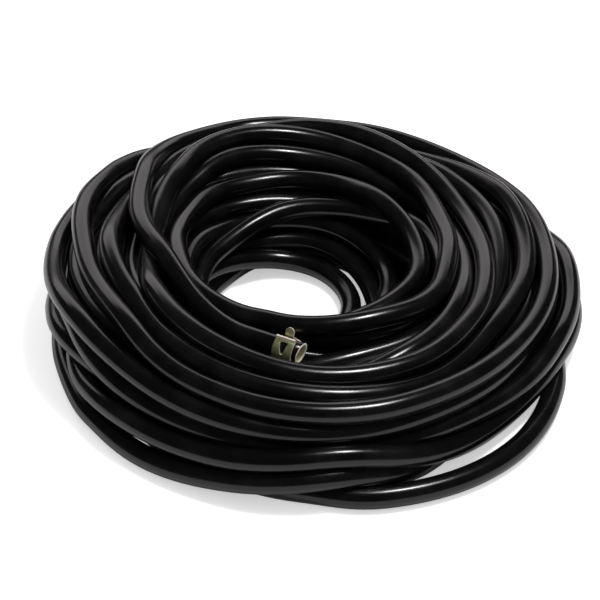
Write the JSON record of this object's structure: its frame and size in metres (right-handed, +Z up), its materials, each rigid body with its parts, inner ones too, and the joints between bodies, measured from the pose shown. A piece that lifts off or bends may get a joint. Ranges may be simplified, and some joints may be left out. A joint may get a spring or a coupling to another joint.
{
  "type": "coiled garden hose with spring clamp",
  "caption": "Long smooth black hose wound into a low floor coil, its upper cut end lying on the pile with a spring band clamp on it.",
  "frame": {"origin": "on the floor under the middle of the coil's bounding box", "axes": "+Z up; -Y towards the viewer of the picture; the clamped end of the hose points right and towards the viewer (+X, -Y)"},
  "size_m": [0.3094, 0.3098, 0.063],
  "materials": {
    "hose": "glossy black skin over a cream inner wall",
    "clamp": "yellow zinc plated spring steel"
  },
  "bodies": {
    "hose": {"hose_coil": "hose", "hose_tail": "hose", "hose_start": "hose"},
    "clamp": {"clamp_window_half": "clamp"},
    "clamp_tongue": {"clamp_tongue_half": "clamp"}
  },
  "joints": [
    {"name": "clamp_slide", "type": "slide", "parent": "hose", "child": "clamp", "axis": [0.8788, -0.4772, 0], "range_m": [-0.015, 0.018]},
    {"name": "clamp_spread", "type": "hinge", "parent": "clamp", "child": "clamp_tongue", "pos_m": [-0.00915, -0.08523, 0.04364], "axis": [-0.8788, 0.4772, 0], "range_deg": [0, 8], "stiffness_Nm_per_rad": 0.2}
  ]
}
